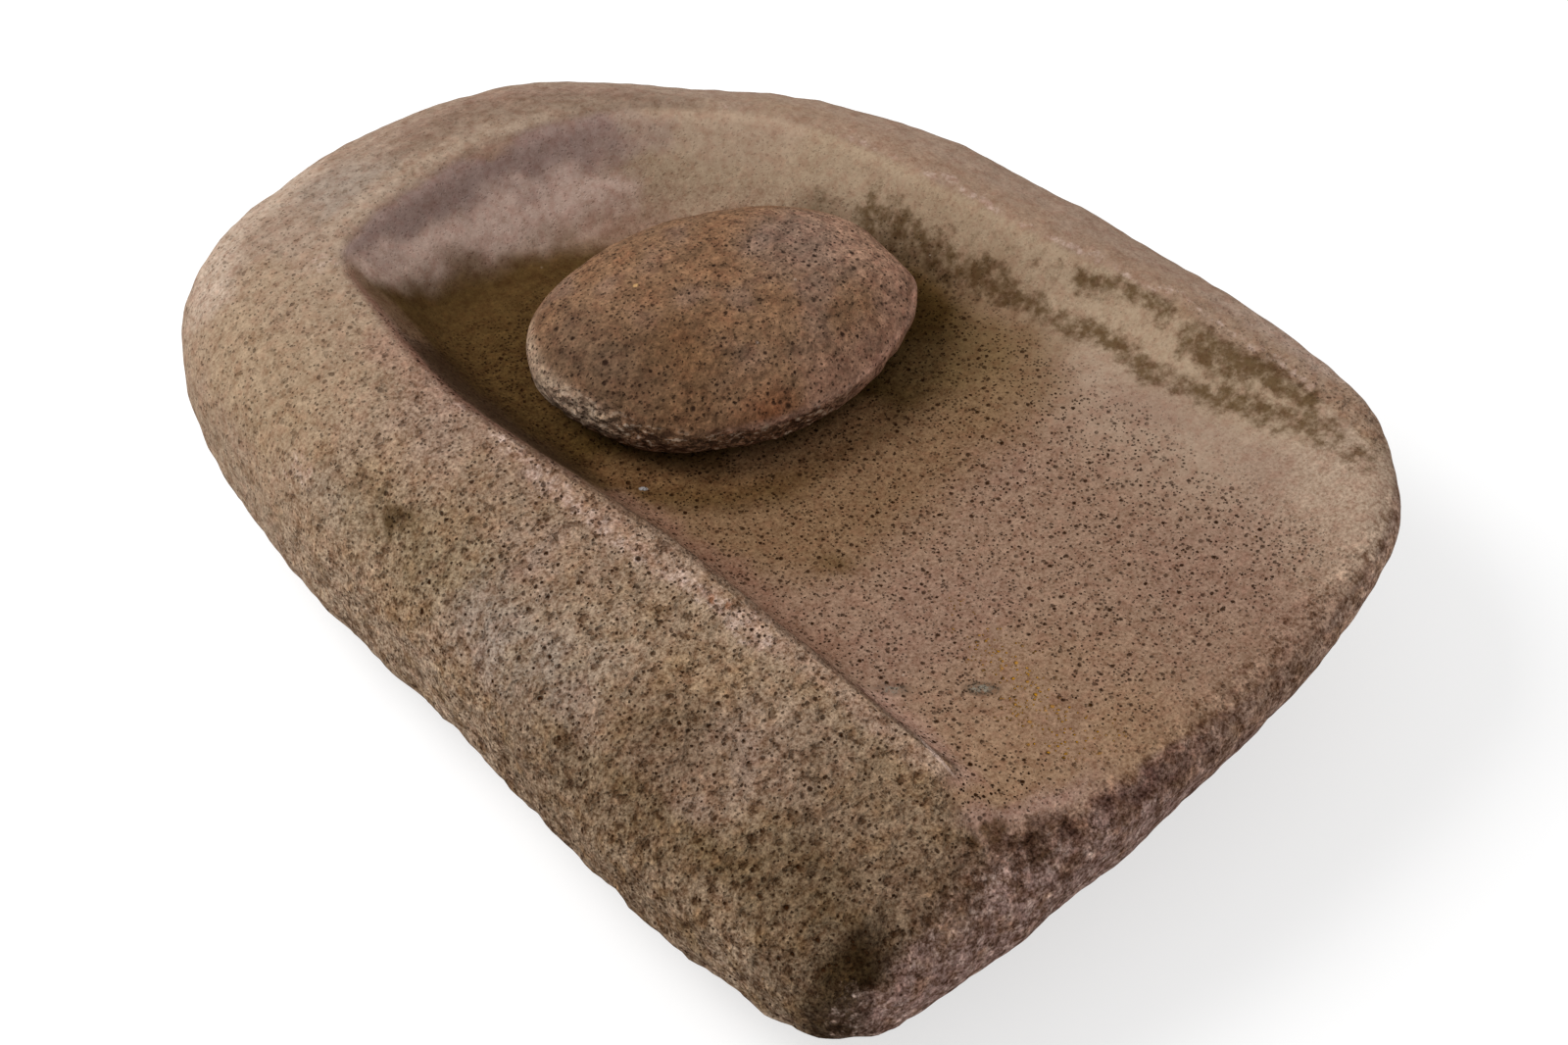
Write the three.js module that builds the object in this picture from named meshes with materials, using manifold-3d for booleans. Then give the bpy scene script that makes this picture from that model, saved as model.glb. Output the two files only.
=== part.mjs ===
import * as THREE from 'three';
import Module from 'manifold-3d';
import { mergeVertices } from 'three/addons/utils/BufferGeometryUtils.js';

// A trough metate and its mano, for grinding grain by hand.
// The metate is a low boulder with a hollow worn into its top: closed at the back, open at the front.
// The mano is the loose hand stone that lies in the hollow and is pushed to and fro along it.
// Millimetres, +Z up. The origin is on the ground under the middle of the boulder.
// +X points to the broad open side of the hollow, +Y to its closed end.

// The boulder as it was found, before the hollow was worn into it
const length = 444;
const width = 336;
const crownHeight = 115;
const crownDrop = 22;          // how much lower the crown is at the open end
const crownPower = 3.2;        // 2 is an ellipse, more has a flatter top and a squarer shoulder
const undersidePower = 2;

// The hollow
const hollowDepth = 40;        // from the crown down to the floor under the mano
const hollowShift = 13;        // its lowest line lies this far to +X of the middle
const floorRise = 9;           // the floor climbs this much along the whole length, towards the front
const dishRise = 5;            // and this much from its lowest line to the dish's half width
const dishHalfWidth = 100;
const wallHeight = 34;         // from the foot line up to the rim line

// The mano
const manoLength = 146;
const manoWidth = 115;
const manoThickness = 44;
const manoAcross = 3;          // where its middle lies in the hollow
const manoAlong = 27;
const manoTurn = THREE.MathUtils.degToRad(-18);
const manoTopPower = 2.7;
const manoUnderPower = 2.3;
const restGap = 0.3;           // between the mano and the floor that it rests on

// The widest line around the boulder, anticlockwise from the near left corner:
// shares of half the width, of half the length and of the crown's height
const bellyShares = [
  [-0.99, -0.71, 0.39], [-0.89, -0.93, 0.39], [-0.51, -0.985, 0.47], [0, -0.985, 0.59], [0.45, -0.95, 0.69],
  [0.79, -0.835, 0.72], [0.965, -0.6, 0.71], [1, -0.28, 0.65], [0.965, 0.03, 0.59], [0.9, 0.27, 0.57],
  [0.78, 0.48, 0.57], [0.6, 0.665, 0.57], [0.375, 0.855, 0.55], [0.03, 0.975, 0.53], [-0.35, 0.995, 0.51],
  [-0.68, 0.92, 0.47], [-0.88, 0.73, 0.41], [-0.95, 0.41, 0.37], [-0.975, 0, 0.37], [-1, -0.37, 0.39],
];
const baseShare = 0.5;                   // the flat patch on the ground, as a share of the widest line
const crownRampShares = [-0.93, 0.52];   // the crown drops between these places, shares of half the length

// The line where the floor starts to bend up, and the line that the wall reaches at its full height,
// anticlockwise from the near right: shares of half the width and of half the length
const footShares = [
  [0.85, -1.24], [0.77, -0.93], [0.69, -0.61], [0.64, -0.43], [0.62, -0.25], [0.56, -0.08], [0.51, 0.07],
  [0.45, 0.23], [0.365, 0.355], [0.235, 0.45], [0.065, 0.51], [-0.125, 0.535], [-0.29, 0.51], [-0.37, 0.425],
  [-0.4, 0.245], [-0.405, -0.025], [-0.405, -0.43], [-0.405, -0.84], [-0.405, -1.24], [-0.2, -1.3],
  [0.2, -1.35], [0.6, -1.3],
];
const rimShares = [
  [1.52, -1.24], [1.37, -0.93], [1.19, -0.61], [1.03, -0.43], [0.925, -0.25], [0.78, -0.06], [0.695, 0.12],
  [0.62, 0.32], [0.51, 0.5], [0.315, 0.62], [0.09, 0.685], [-0.16, 0.7], [-0.505, 0.665], [-0.58, 0.48],
  [-0.605, 0.235], [-0.6, -0.025], [-0.595, -0.43], [-0.595, -0.84], [-0.62, -1.24], [-0.3, -1.5],
  [0.2, -1.6], [0.9, -1.5],
];
const bendShare = 0.4;                   // the part of the wall's run that curves up from the floor
const overrunShare = 0.6;                // the cutter goes on past the rim by this share of the wall's run

// The mano's outline from above: shares of half its length and of half its width
const manoShares = [
  [1, 0], [0.93, 0.47], [0.66, 0.81], [0.3, 0.97], [-0.12, 1], [-0.52, 0.87], [-0.86, 0.57], [-1, 0.15],
  [-0.95, -0.27], [-0.74, -0.65], [-0.45, -0.93], [-0.06, -1.04], [0.34, -0.94], [0.69, -0.68], [0.95, -0.34],
];
const manoBellyShare = 0.46;             // its widest line, as a share of its thickness

// How finely each surface is divided
const boulderSteps = 80;
const crownRings = 12;
const undersideRings = 8;
const hollowSteps = 88;
const floorRings = 6;
const wallRings = 8;
const manoSteps = 45;
const manoRings = 8;

// A smooth closed line through the given points, as evenly numbered points
function closedLine(points, steps) {
  const line = new THREE.CatmullRomCurve3(points, true, 'catmullrom');
  return Array.from({ length: steps }, (_, step) => line.getPoint(step / steps));
}

// Moves and stretches a line in plan so that its box is exactly as wide and as long as given
function fitPlan(line, wide, long) {
  const box = new THREE.Box3().setFromPoints(line);
  const middle = box.getCenter(new THREE.Vector3());
  const size = box.getSize(new THREE.Vector3());
  for (const point of line) {
    point.x = (point.x - middle.x) * wide / size.x;
    point.y = (point.y - middle.y) * long / size.y;
  }
  return line;
}

// Closed solid from rings of points, each anticlockwise from above, listed from the bottom to the top
function ringSolid(rings, bottom, top) {
  const count = rings[0].length;
  const points = [...rings.flat(), bottom, top];
  const bottomIndex = points.length - 2;
  const topIndex = points.length - 1;
  const lastRing = (rings.length - 1) * count;
  const triangles = [];
  for (let side = 0; side < count; side += 1) {
    const next = (side + 1) % count;
    triangles.push(bottomIndex, next, side);
    for (let ring = 0; ring < lastRing; ring += count) {
      triangles.push(ring + side, ring + next, ring + count + next);
      triangles.push(ring + side, ring + count + next, ring + count + side);
    }
    triangles.push(topIndex, lastRing + side, lastRing + next);
  }
  const geometry = new THREE.BufferGeometry().setFromPoints(points);
  geometry.setIndex(triangles);
  return geometry;
}

// Quarter of a superellipse: how high it is, from 0 to 1, at a share of its reach
function archShare(reachShare, power) {
  return (1 - reachShare ** power) ** (1 / power);
}

// The boulder's crown would be this high if it had no rounded shoulder
function crownAt(along) {
  const [front, back] = crownRampShares.map((share) => share * length / 2);
  return crownHeight - crownDrop * (1 - THREE.MathUtils.smoothstep(along, front, back));
}

// The boulder: from the flat base out to the widest line and in again over the shoulder to the crown
function boulder() {
  const corners = bellyShares.map(([across, along, up]) => new THREE.Vector3(across, along, up * crownHeight));
  const belly = fitPlan(closedLine(corners, boulderSteps), width, length);
  const rings = [];
  for (let ring = 0; ring <= undersideRings; ring += 1) {
    const turn = Math.sin(Math.PI / 2 * ring / undersideRings);
    const reach = THREE.MathUtils.lerp(baseShare, 1, turn);
    const rise = 1 - archShare(turn, undersidePower);
    rings.push(belly.map((point) => new THREE.Vector3(point.x * reach, point.y * reach, point.z * rise)));
  }
  for (let ring = 1; ring < crownRings; ring += 1) {
    const reach = Math.cos(Math.PI / 2 * ring / crownRings) ** (2 / crownPower);
    const rise = archShare(reach, crownPower);
    rings.push(belly.map((point) => {
      const height = THREE.MathUtils.lerp(point.z, crownAt(point.y * reach), rise);
      return new THREE.Vector3(point.x * reach, point.y * reach, height);
    }));
  }
  return ringSolid(rings, new THREE.Vector3(), new THREE.Vector3(0, 0, crownAt(0)));
}

// Height of the hollow's floor: a plane that climbs to the front, dished from side to side
function floorAt(across, along) {
  const climb = -floorRise * (along - manoAlong) / length;
  const dish = dishRise * ((across - hollowShift) / dishHalfWidth) ** 2;
  return crownHeight - hollowDepth + climb + dish;
}

// Share of the wall's height at a share of its run: a parabola up from the floor, then a straight slope
function wallShare(run) {
  const rise = run < bendShare ? run ** 2 / (2 * bendShare) : run - bendShare / 2;
  return rise / (1 - bendShare / 2);
}

// What the hollow takes away: its floor, its walls and all that stands above them
function hollow() {
  const place = ([across, along]) => new THREE.Vector3(across * width / 2, along * length / 2, 0);
  const foot = closedLine(footShares.map(place), hollowSteps);
  const rim = closedLine(rimShares.map(place), hollowSteps);
  const middle = new THREE.Vector3(hollowShift, 0, floorAt(hollowShift, 0));
  const rings = [];
  for (let ring = 1; ring <= floorRings; ring += 1) {
    rings.push(foot.map((point) => {
      const spot = middle.clone().lerp(point, ring / floorRings);
      return spot.setZ(floorAt(spot.x, spot.y));
    }));
  }
  for (let ring = 1; ring <= wallRings; ring += 1) {
    const run = (1 + overrunShare) * ring / wallRings;
    rings.push(foot.map((point, index) => {
      const spot = point.clone().lerp(rim[index], run);
      return spot.setZ(floorAt(spot.x, spot.y) + wallHeight * wallShare(run));
    }));
  }
  return ringSolid(rings, middle, new THREE.Vector3(hollowShift, 0, crownHeight + 2 * wallHeight));
}

// The mano: domed on top, with a flatter grinding face below, and its widest line at the height 0
function manoStone() {
  const corners = manoShares.map(([along, across]) => new THREE.Vector3(along, across, 0));
  const outline = fitPlan(closedLine(corners, manoSteps), manoLength, manoWidth);
  const below = manoThickness * manoBellyShare;
  const above = manoThickness - below;
  const rings = [];
  for (let ring = 1 - manoRings; ring < manoRings; ring += 1) {
    const power = ring < 0 ? manoUnderPower : manoTopPower;
    const depth = ring < 0 ? -below : above;
    const reach = Math.cos(Math.PI / 2 * ring / manoRings) ** (2 / power);
    const height = depth * archShare(reach, power);
    rings.push(outline.map((point) => new THREE.Vector3(point.x * reach, point.y * reach, height)));
  }
  return ringSolid(rings, new THREE.Vector3(0, 0, -below), new THREE.Vector3(0, 0, above));
}

const wasm = await Module();
wasm.setup();

function toSolid(geometry) {
  const merged = mergeVertices(geometry);
  return new wasm.Manifold(new wasm.Mesh({
    numProp: 3,
    vertProperties: new Float32Array(merged.attributes.position.array),
    triVerts: new Uint32Array(merged.index.array),
  }));
}

function toGeometry(solid) {
  const mesh = solid.getMesh();
  const geometry = new THREE.BufferGeometry();
  geometry.setAttribute('position', new THREE.BufferAttribute(new Float32Array(mesh.vertProperties), 3));
  geometry.setIndex(new THREE.BufferAttribute(new Uint32Array(mesh.triVerts), 1));
  geometry.computeVertexNormals();
  return geometry;
}

function stoneMesh(name, geometry, colour, roughness) {
  const material = new THREE.MeshStandardMaterial({ color: colour, roughness, metalness: 0 });
  const mesh = new THREE.Mesh(geometry, material);
  mesh.name = name;
  return mesh;
}

const metate = stoneMesh('metate', toGeometry(toSolid(boulder()).subtract(toSolid(hollow()))), '#907865', 0.9);

// The mano lies flat on the floor of the hollow
const mano = stoneMesh('mano', toGeometry(toSolid(manoStone())), '#7f6152', 0.8);
mano.rotation.z = manoTurn;
mano.position.set(manoAcross, manoAlong, floorAt(manoAcross, manoAlong) + restGap + manoThickness * manoBellyShare);

const part = new THREE.Group();
part.add(metate, mano);

export default part;
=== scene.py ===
# %% [markdown]
# A trough metate is a low boulder of volcanic stone with a hollow worn into its top, and a mano is the
# loose hand stone that grinds grain in it. There are only two pieces, so the work is in their surfaces:
# how the hollow cuts the boulder, how rough each face is and how years of use have coloured it.
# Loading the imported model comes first, because every piece has to lie where its solid lies.

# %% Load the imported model
from functools import partial

import bpy
import numpy as np
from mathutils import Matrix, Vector


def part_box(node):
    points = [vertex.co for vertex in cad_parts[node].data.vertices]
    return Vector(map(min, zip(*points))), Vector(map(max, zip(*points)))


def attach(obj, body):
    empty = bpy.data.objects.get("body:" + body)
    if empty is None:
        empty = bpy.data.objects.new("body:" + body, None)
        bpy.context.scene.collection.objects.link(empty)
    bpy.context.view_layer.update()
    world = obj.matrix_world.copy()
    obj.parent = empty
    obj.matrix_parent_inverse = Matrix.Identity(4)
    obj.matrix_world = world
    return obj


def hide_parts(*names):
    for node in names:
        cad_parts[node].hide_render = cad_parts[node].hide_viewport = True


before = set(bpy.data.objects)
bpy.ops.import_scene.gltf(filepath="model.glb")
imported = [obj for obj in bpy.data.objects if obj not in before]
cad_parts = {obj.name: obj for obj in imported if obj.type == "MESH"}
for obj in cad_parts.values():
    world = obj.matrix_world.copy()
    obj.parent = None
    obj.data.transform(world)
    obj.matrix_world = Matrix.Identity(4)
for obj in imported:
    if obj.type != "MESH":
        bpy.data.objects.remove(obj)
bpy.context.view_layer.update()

metate_low, metate_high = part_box("metate")
width = metate_high.x - metate_low.x
length = metate_high.y - metate_low.y
print("metate", round(width, 4), "by", round(length, 4), "by", round(metate_high.z, 4), "m")

# %% [markdown]
# The camera stands where the photographer stood. The stone's rim lines and its outline gave the angle:
# 42 degrees round to the left of the open end, 46 degrees up, a little over a metre away.

# %% Camera
view_azimuth = np.radians(-42)
view_elevation = np.radians(46)
view_distance = 1.0636
view_target = Vector((-0.02375, -0.03545, 0.057))
view_lens = 67.18
view_sensor = 36
view_back = Vector((np.sin(view_azimuth) * np.cos(view_elevation),
                    -np.cos(view_azimuth) * np.cos(view_elevation),
                    np.sin(view_elevation)))

camera_data = bpy.data.cameras.new("camera")
camera_data.lens = view_lens
camera_data.sensor_width = view_sensor
camera = bpy.data.objects.new("camera", camera_data)
camera.location = view_target + view_back * view_distance
camera.rotation_mode = "QUATERNION"
camera.rotation_quaternion = (-view_back).to_track_quat("-Z", "Y")
bpy.context.scene.collection.objects.link(camera)
bpy.context.scene.camera = camera

# %% [markdown]
# The metate's shape has three drawn lines: the widest line around the boulder, the foot line where
# the hollow's floor starts to bend up, and the rim line that the wall would reach at its full height.
# A smooth closed curve runs through each. Everything between the lines is a formula.

# %% The three lines of the metate
crown_height = 0.115
crown_drop = 0.022
crown_power = 3.2
underside_power = 2
hollow_depth = 0.040
hollow_shift = 0.013
floor_rise = 0.009
dish_rise = 0.005
dish_half_width = 0.100
wall_height = 0.034
base_share = 0.5
bend_share = 0.4
mano_along = 0.027
crown_ramp_shares = np.array((-0.93, 0.52))

# Shares of half the width, of half the length and of the crown's height
belly_shares = [
    (-0.99, -0.71, 0.39), (-0.89, -0.93, 0.39), (-0.51, -0.985, 0.47), (0, -0.985, 0.59),
    (0.45, -0.95, 0.69), (0.79, -0.835, 0.72), (0.965, -0.6, 0.71), (1, -0.28, 0.65), (0.965, 0.03, 0.59),
    (0.9, 0.27, 0.57), (0.78, 0.48, 0.57), (0.6, 0.665, 0.57), (0.375, 0.855, 0.55), (0.03, 0.975, 0.53),
    (-0.35, 0.995, 0.51), (-0.68, 0.92, 0.47), (-0.88, 0.73, 0.41), (-0.95, 0.41, 0.37), (-0.975, 0, 0.37),
    (-1, -0.37, 0.39)]
foot_shares = [
    (0.85, -1.24), (0.77, -0.93), (0.69, -0.61), (0.64, -0.43), (0.62, -0.25), (0.56, -0.08), (0.51, 0.07),
    (0.45, 0.23), (0.365, 0.355), (0.235, 0.45), (0.065, 0.51), (-0.125, 0.535), (-0.29, 0.51),
    (-0.37, 0.425), (-0.4, 0.245), (-0.405, -0.025), (-0.405, -0.2), (-0.405, -0.43), (-0.405, -0.84),
    (-0.405, -1.24), (-0.2, -1.3), (0.2, -1.35), (0.6, -1.3)]
rim_shares = [
    (1.52, -1.24), (1.37, -0.93), (1.19, -0.61), (1.03, -0.43), (0.925, -0.25), (0.78, -0.06),
    (0.695, 0.12), (0.62, 0.32), (0.51, 0.5), (0.315, 0.62), (0.09, 0.685), (-0.16, 0.7), (-0.505, 0.665),
    (-0.59, 0.48), (-0.643, 0.235), (-0.598, -0.025), (-0.557, -0.2), (-0.548, -0.43), (-0.55, -0.84),
    (-0.58, -1.24), (-0.3, -1.5), (0.2, -1.6), (0.9, -1.5)]


def closed_line(corners, turns):
    """A closed Catmull-Rom curve: each stretch is a cubic in the four corners around it."""
    corners = np.asarray(corners, float)
    place = (turns % 1) * len(corners)
    start = place.astype(int)
    way = (place - start)[:, None]
    before, here, after, beyond = (corners[(start + step) % len(corners)] for step in (-1, 0, 1, 2))
    bend = 2 * before - 5 * here + 4 * after - beyond
    twist = 3 * (here - after) + beyond - before
    return here + way / 2 * (after - before + way * (bend + way * twist))


def fit_plan(line, wide, long):
    """Moves and stretches a line in plan until its box is exactly as wide and as long as given."""
    plan = line[:, :2]
    low, high = plan.min(0), plan.max(0)
    return np.column_stack([(plan - (low + high) / 2) * (wide, long) / (high - low), line[:, 2:]])


fine_count = 4000
fine_turns = np.arange(fine_count) / fine_count
belly_line = fit_plan(closed_line(belly_shares, fine_turns), width, length)
belly_line[:, 2] *= crown_height
belly_angle = np.arctan2(belly_line[:, 1], belly_line[:, 0])
belly_reach = np.hypot(belly_line[:, 0], belly_line[:, 1])
half_plan = np.array((width / 2, length / 2))


def belly_at(angle):
    """How far out and how high the widest line is in a direction, read from the fine line by its angle."""
    reach = np.interp(angle, belly_angle, belly_reach, period=2 * np.pi)
    height = np.interp(angle, belly_angle, belly_line[:, 2], period=2 * np.pi)
    return reach, height


def arch(share, power):
    """A quarter of a superellipse: how high it is, from 0 to 1, at a share of its reach."""
    return (1 - np.clip(share, 0, 1) ** power) ** (1 / power)


def ease(low, high, value):
    """0 below low, 1 above high, and 3t squared less 2t cubed in between."""
    way = np.clip((value - low) / (high - low), 0, 1)
    return way * way * (3 - 2 * way)


def crown_at(across, along):
    """The boulder's top before the hollow was worn in, with its shoulder rounded off; far below outside."""
    reach, belly = belly_at(np.arctan2(along, across))
    share = np.hypot(across, along) / reach
    top = crown_height - crown_drop * (1 - ease(*(crown_ramp_shares * length / 2), along))
    return np.where(share < 1, belly + (top - belly) * arch(share, crown_power), -crown_height)


def floor_at(across, along):
    """The hollow's floor: a plane that climbs to the front, plus a parabola from side to side."""
    climb = -floor_rise * (along - mano_along) / length
    return crown_height - hollow_depth + climb + dish_rise * ((across - hollow_shift) / dish_half_width) ** 2


def wall_share(run):
    """The wall's height against its run: a parabola up from the floor, then a straight slope."""
    rise = np.where(run < bend_share, run ** 2 / (2 * bend_share), run - bend_share / 2)
    return rise / (1 - bend_share / 2)


# %% [markdown]
# One grid covers the whole metate. Its rows run from the middle of the floor out to the rim, over the
# crown to the widest line, and round under the stone to the middle of the base. The rim is where the
# hollow meets the crown. It is found for all directions at once by halving a span again and again, and
# a row lies exactly on it, so the edge stays clean.

# %% Find the rim
around_count = 590
floor_rows = 30
wall_rows = 36
crown_rows = 56
underside_rows = 40
base_rows = 4
longest_run = 2.6
coarse_steps = 200
halvings = 30


def hollow_point(foot, rim, run):
    """A point of the hollow: run 0 is its middle, 1 the foot line and 2 the rim line."""
    middle = np.array((hollow_shift, 0))
    run = np.asarray(run)[..., None]
    plan = np.where(run < 1, middle + (foot - middle) * run, foot + (rim - foot) * (run - 1))
    past_foot = np.maximum(run[..., 0] - 1, 0)
    height = floor_at(plan[..., 0], plan[..., 1]) + wall_height * wall_share(past_foot)
    return np.concatenate([plan, height[..., None]], -1)


def rim_run(foot, rim):
    """The run at which the hollow comes up through the crown, by halving the span that holds it."""
    coarse = np.linspace(0, longest_run, coarse_steps)
    trial = hollow_point(foot[:, None], rim[:, None], np.broadcast_to(coarse, (len(foot), len(coarse))))
    above = trial[..., 2] > crown_at(trial[..., 0], trial[..., 1])
    first = above.argmax(1)
    low, high = coarse[first - 1], coarse[first]
    for _ in range(halvings):
        half = (low + high) / 2
        point = hollow_point(foot, rim, half)
        over = point[:, 2] > crown_at(point[:, 0], point[:, 1])
        low, high = np.where(over, low, half), np.where(over, half, high)
    return (low + high) / 2


def hand_lines(turns):
    """The foot line and the rim line at some turns, in metres."""
    return (closed_line(np.array(shares) * half_plan, turns) for shares in (foot_shares, rim_shares))


def even_turns(line, count):
    """The turns that cut a closed line, known at the fine turns, into equal steps, and the line's length."""
    step = np.linalg.norm(np.roll(line, -1, 0) - line, axis=1)
    gone = np.concatenate([[0], np.cumsum(step)])
    return np.interp(np.arange(count) / count * gone[-1], gone, np.append(fine_turns, 1)), gone[-1]


fine_foot, fine_rim = hand_lines(fine_turns)
fine_edge = hollow_point(fine_foot, fine_rim, rim_run(fine_foot, fine_rim))
around_turns, rim_length = even_turns(fine_edge, around_count)
foot_line, rim_line = hand_lines(around_turns)
rim_at = rim_run(foot_line, rim_line)
print("rim", round(rim_length, 3), "m round in", around_count, "columns")

# %% Rows from the floor to the base
# The open end has no foot, so there the wall's rows crowd into the last tenth of the floor
floor_end = np.minimum(1, 0.9 * rim_at)[:, None]
floor_runs = floor_end * np.arange(1, floor_rows + 1) / floor_rows
wall_runs = floor_end + (rim_at[:, None] - floor_end) * np.arange(1, wall_rows + 1) / wall_rows
runs = np.concatenate([floor_runs, wall_runs], 1)
hollow_grid = hollow_point(foot_line[:, None], rim_line[:, None], runs)
edge_line = hollow_grid[:, -1]
edge_angle = np.arctan2(edge_line[:, 1], edge_line[:, 0])
reach_line, belly_height = belly_at(edge_angle)
edge_share = np.hypot(edge_line[:, 0], edge_line[:, 1]) / reach_line
outward = np.stack([np.cos(edge_angle), np.sin(edge_angle)], -1)[:, None]

# Over the crown the rows are spaced by the arch's own angle, so that they stay even round the shoulder
just_inside = 0.999999
crown_left = 1 - np.arange(1, crown_rows + 1) / crown_rows
crown_share = np.cos(np.arccos(edge_share ** (crown_power / 2))[:, None] * crown_left) ** (2 / crown_power)
crown_plan = outward * (reach_line[:, None] * crown_share)[..., None]
crown_z = crown_at(*(crown_plan * just_inside).transpose(2, 0, 1))
crown_z[:, -1] = belly_height
crown_grid = np.concatenate([crown_plan, crown_z[..., None]], -1)

# Underneath, the wall turns in on a quarter of an ellipse down to the flat base
under_turn = np.sin(np.pi / 2 * (1 - np.arange(1, underside_rows + 1) / underside_rows))
under_plan = outward * (reach_line[:, None] * (base_share + (1 - base_share) * under_turn))[..., None]
under_z = belly_height[:, None] * (1 - arch(under_turn, underside_power))
under_grid = np.concatenate([under_plan, under_z[..., None]], -1)
flat_share = base_share * (1 - np.arange(1, base_rows + 1) / (base_rows + 1))
flat_plan = outward * (reach_line[:, None] * flat_share)[..., None]
flat_grid = np.concatenate([flat_plan, np.zeros(flat_plan.shape[:2] + (1,))], -1)

metate_grid = np.concatenate([hollow_grid, crown_grid, under_grid, flat_grid], 1)
rim_row = floor_rows + wall_rows - 1
print("metate grid", metate_grid.shape, "with its rim from", edge_line[:, 2].min().round(4), "m up")

# %% [markdown]
# The rim isn't equally sharp all round. Beside the left wall it is a worn edge a few millimetres across,
# at the back and on the right it is a broad soft roll, and the open end rolls over like a lip. Averaging
# each point with the others in its column, the near ones most, rounds an edge. How far the average
# reaches changes with the direction.

# %% Round the rim
def by_angle(stops):
    """A value for each direction, drawn straight between (degrees, value) stops and closed round."""
    degrees, values = np.array(stops, float).T
    return np.interp(np.degrees(edge_angle), degrees, values, period=360)


def row_lengths(grid):
    """How far each point lies from the rim along its own column: less than 0 inside the hollow."""
    steps = np.linalg.norm(np.diff(grid, axis=1), axis=2)
    gone = np.concatenate([np.zeros((len(grid), 1)), np.cumsum(steps, 1)], 1)
    return gone - gone[:, rim_row:rim_row + 1]


def soften(grid, spans):
    """Moves each point near the rim to the mean of its column.

    The weight is e to the minus half of (distance / reach) squared, and the reach fades away from the rim."""
    from_rim = row_lengths(grid)
    spans = spans[:, None]
    reach = np.maximum(spans * np.exp(-(from_rim / (1.6 * spans)) ** 2 / 2), 0.0001)[..., None]
    apart = (from_rim[:, :, None] - from_rim[:, None]) / reach
    weight = np.exp(-apart ** 2 / 2) * np.gradient(from_rim, axis=1)[:, None]
    return np.einsum("cij,cjk->cik", weight / weight.sum(2, keepdims=True), grid)


# Degrees round from the right-hand side, and how broad the roll of the rim is there in metres
rim_roll = by_angle([(-180, 0.0024), (-128, 0.0024), (-116, 0.004), (-100, 0.007), (-80, 0.009),
                     (-50, 0.009), (-30, 0.007), (0, 0.005), (40, 0.005), (70, 0.006), (100, 0.006),
                     (112, 0.004), (122, 0.0028)])
metate_grid = soften(metate_grid, rim_roll)
from_rim = row_lengths(metate_grid)
print("rim rolls over", rim_roll.min(), "to", rim_roll.max(), "m")

# %% [markdown]
# No two square centimetres of a boulder are alike, so its relief comes from noise: random slopes on a
# lattice, blended smoothly in between. Sizes from 70 mm down to 6 mm go into the mesh. Finer grain than
# the grid can hold is left to the material.

# %% Noise and normals
def lattice_random(cells, seed):
    """A repeatable number from 0 to 1 for each cell: its three counts times large odd numbers, mixed."""
    mixed = (cells * np.array((73856093, 19349663, 83492791)) + seed * 2654435761).sum(-1) & 0xFFFFFFFF
    for shift, factor in ((15, 0x2C1B3C6D), (12, 0x297A2D39)):
        mixed = (mixed ^ (mixed >> shift)) * factor & 0xFFFFFFFF
    return (mixed ^ (mixed >> 15)) / 0xFFFFFFFF


noise_gain = 1.6


def noise(points, size, seed):
    """Random hills about one size apart: random slopes at the eight corners of a cell, blended smoothly."""
    place = points / size + 0.37 * seed
    cell = np.floor(place).astype(np.int64)
    way = place - cell
    blend = way ** 3 * (way * (way * 6 - 15) + 10)
    total = 0
    for corner in np.ndindex(2, 2, 2):
        slope = np.stack([lattice_random(cell + corner, seed * 3 + axis) for axis in range(3)], -1) * 2 - 1
        share = np.where(corner, blend, 1 - blend).prod(-1)
        total = total + share * (slope * (way - corner)).sum(-1)
    return noise_gain * total


def grid_normals(grid):
    """Outward direction at each point: the step down its column crossed with the step round the grid."""
    around = np.roll(grid, -1, 0) - np.roll(grid, 1, 0)
    down = np.gradient(grid, axis=1)
    outward_step = np.cross(down, around)
    return outward_step / np.maximum(np.linalg.norm(outward_step, axis=2, keepdims=True), 1e-12)


# %% [markdown]
# The skin of the boulder was pecked to shape, so it is lumpy, most of all on the near and left sides.
# The hollow was ground by the mano, so it is nearly smooth and may only sink: the mano has to clear it
# by a fraction of a millimetre all the way along its stroke. A few listed dents give the outline its
# corners.

# %% Relief of the metate
millimetre = 0.001


def sunk(points, dents):
    """How far dents sink each point: depth times e to the minus (distance / radius) squared."""
    return sum(depth * np.exp(-((points / millimetre - middle) ** 2).sum(-1) / radius ** 2)
               for middle, radius, depth in dents)


def hills(points, sizes, seed):
    """The sum of some noises, each given by its size in metres and its depth in millimetres."""
    return sum(depth * noise(points, size, seed + step) for step, (size, depth) in enumerate(sizes))


inside = 1 - ease(-0.004, 0.012, from_rim)
lumpiness = by_angle([(-180, 0.9), (-150, 1.1), (-122, 1), (-106, 0.45), (0, 0.4), (90, 0.4), (120, 0.5),
                      (150, 0.6)])
skin_relief = hills(metate_grid, [(0.075, 2.2), (0.030, 1.7), (0.013, 1.2), (0.0065, 0.8)], 1)
floor_relief = hills(metate_grid, [(0.030, 0.35), (0.008, 0.12)], 11) - 0.35

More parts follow.
